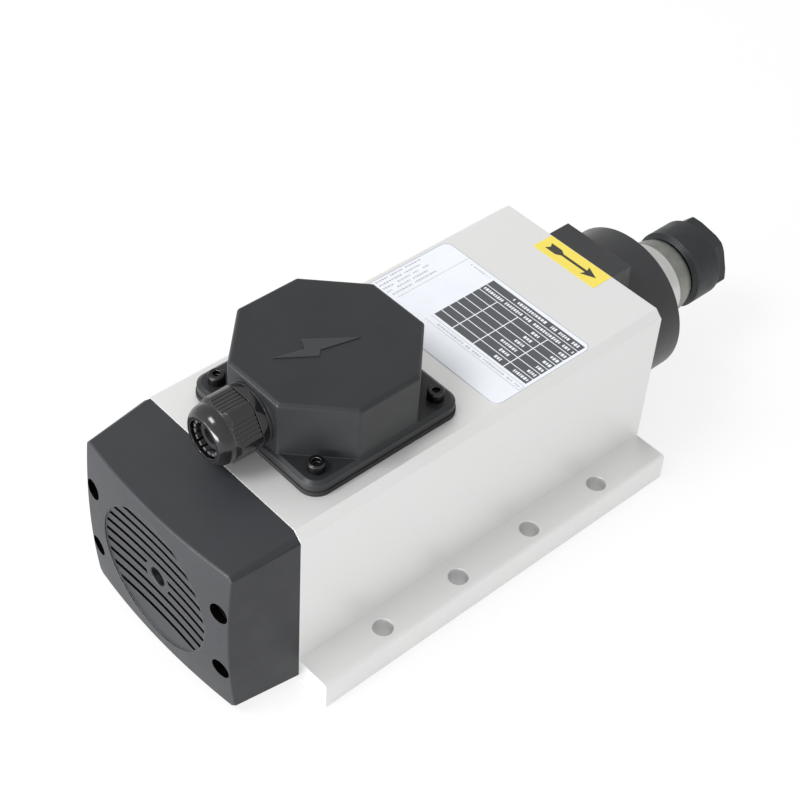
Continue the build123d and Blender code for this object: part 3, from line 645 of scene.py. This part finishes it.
def round_corners(mesh):
    """Shades the cover's flat corner faces as though they were rounded."""
    normals = [Vector(corner.vector) for corner in mesh.corner_normals]
    for face in mesh.polygons:
        n = face.normal
        if abs(n.x) > 0.35 or abs(n.y) < 0.5 or abs(n.z) < 0.5 or abs(face.center.y) < CORNER_Y:
            continue
        flat = Vector((-COVER_SLOPE_Z, 0, 1 if n.z > 0 else -1)).normalized()
        side = Vector((-COVER_SLOPE_Y, 1 if n.y > 0 else -1, 0)).normalized()
        for loop in face.loop_indices:
            point = mesh.vertices[mesh.loops[loop].vertex_index].co
            start = CORNER_START + (COVER_SLOPE_Z - COVER_SLOPE_Y) * (BODY_REAR - point.x)
            share = (abs(point.y) - abs(point.z - SPINDLE_Z) - start) / CORNER_SHARE
            normals[loop] = flat.lerp(side, min(1.0, max(0.0, share))).normalized()
        face.use_smooth = True
    mesh.normals_split_custom_set(normals)


def radius_of(point):
    """The distance of a point from the spindle axis."""
    y, z = point.y, point.z - SPINDLE_Z
    return (y * y + z * z) ** 0.5


def flush_grille_rim(point):
    """Lays the rim round the grille onto the dome."""
    r = radius_of(point)
    on_rim = RIM_R[0] < r < RIM_R[1] and abs(point.x - RIM_X) < RIM_REACH
    return Vector((COVER_APEX + r * r / (2 * DOME_R), point.y, point.z)) if on_rim else point.copy()


def fuller_boss(point):
    """Widens the boss of the front cap, and eases its root fillet to match."""
    r = radius_of(point)
    if point.x < BODY_FRONT + 6.4 * MM or not BOSS_BAND[0] <= r <= BOSS_BAND[1]:
        return point.copy()
    if r <= BOSS_CAD_R:
        new = r + BOSS_R - BOSS_CAD_R
    else:
        root = BOSS_CAD_R + BOSS_FILLET
        new = BOSS_R + (r - BOSS_CAD_R) * (root - BOSS_R) / BOSS_FILLET
    return Vector((point.x, point.y * new / r, SPINDLE_Z + (point.z - SPINDLE_Z) * new / r))


def lathe(name, profile, body, finish, steps=96):
    """A closed ring turned about the spindle axis from (x, radius) points."""
    mesh = bpy.data.meshes.new(name)
    shape = bmesh.new()
    rings = []
    for i in range(steps):
        angle = 2 * pi * i / steps
        rings.append([shape.verts.new((x, r * cos(angle), SPINDLE_Z + r * sin(angle))) for x, r in profile])
    for i, here in enumerate(rings):
        there = rings[(i + 1) % steps]
        for j in range(len(profile)):
            k = (j + 1) % len(profile)
            shape.faces.new((here[j], here[k], there[k], there[j])).smooth = True
    bmesh.ops.recalc_face_normals(shape, faces=shape.faces)
    for edge in shape.edges:
        edge.smooth = edge.calc_face_angle(0.0) < radians(20)
    shape.to_mesh(mesh)
    shape.free()
    mesh.materials.append(finish)
    piece = added(name, mesh)
    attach(piece, body)
    return piece


def nose_sleeve():
    """The bright sleeve between the cap and the nut, and the cone in front of it in a darker copy of the
    steel, as painted shade.
    """
    start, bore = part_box("nose_ring")[0].x, 12.55 * MM
    front = NUT_BACK - 1.0 * MM
    step = front - 5.0 * MM               # where the cone starts
    profile = [(start, bore), (start, 15.2 * MM), (start + 1 * MM, 15.2 * MM), (start + 1 * MM, 17.6 * MM),
               (start + 1.4 * MM, 18 * MM), (step - 4.4 * MM, 18 * MM), (step - 4.0 * MM, 17.7 * MM),
               (step, 17.6 * MM), (front, 16.2 * MM), (front, bore)]
    bright = turned_steel("sleeve_steel", (0.66, 0.66, 0.65), 0.16)
    shaded_cone_steel = turned_steel("cone_steel", (0.25, 0.26, 0.235), 0.30)
    piece = lathe("nose_sleeve", profile, "rotor", bright)
    piece.data.materials.append(shaded_cone_steel)
    # Painted shade: the cone and the step before it take the darker copy of the steel.
    for face in piece.data.polygons:
        if face.center.x > step - 4.3 * MM:
            face.material_index = 1
    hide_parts("nose_ring")


def lower_lid(point):
    drop = LID_DROP if point.z > LID_TOP - LID_DEPTH else 0.0
    return Vector((point.x, point.y, point.z - drop))


def lid_relief():
    """A plain lightning flash that stands up from the lid, with sloping sides."""
    low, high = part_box("terminal_box_gasket")
    middle = (low + high) / 2
    mesh = bpy.data.meshes.new("lid_relief")
    shape = bmesh.new()
    core = sum((Vector(p) for p in RELIEF), Vector((0, 0))) / len(RELIEF)
    levels = []
    for z, grow in ((LID_TOP - LID_DROP - RELIEF_ROOT, RELIEF_FLARE), (LID_TOP, 1.0)):
        points = [core + (Vector(p) - core) * grow for p in RELIEF]
        levels.append([(middle.x + p.x * MM, middle.y + p.y * MM, z) for p in points])
    prism(shape, *levels)
    bmesh.ops.recalc_face_normals(shape, faces=shape.faces)
    bmesh.ops.triangulate(shape, faces=shape.faces)
    shape.to_mesh(mesh)
    shape.free()
    mesh.materials.append(finishes["box_plastic"])
    piece = added("lid_relief", mesh)
    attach(piece, "root")


# ---- the scene ----------------------------------------------------------
bpy.context.scene.view_settings.view_transform = "Standard"
make_camera()
make_world()
area_light("key", (-1.0, 0.3, 1.5), (0, 0, 0.05), (0.6, 0.6), 16)
area_light("rear", (-0.95, 0.05, 0.12), (-0.12, 0.02, 0.04), (0.9, 0.2), 11)
make_floor()
finishes = make_finishes()
dress()
rating_plate()
rotation_sticker()
round_corners(reshaped("fan_cover", "fan_cover_shell", "cover_plastic", flush_grille_rim).data)
reshaped("front_end_cap", "front_cap_casting", "black_casting", fuller_boss)
reshaped("terminal_box_cover", "terminal_box_hood", "box_plastic", lower_lid)
lid_relief()
nose_sleeve()
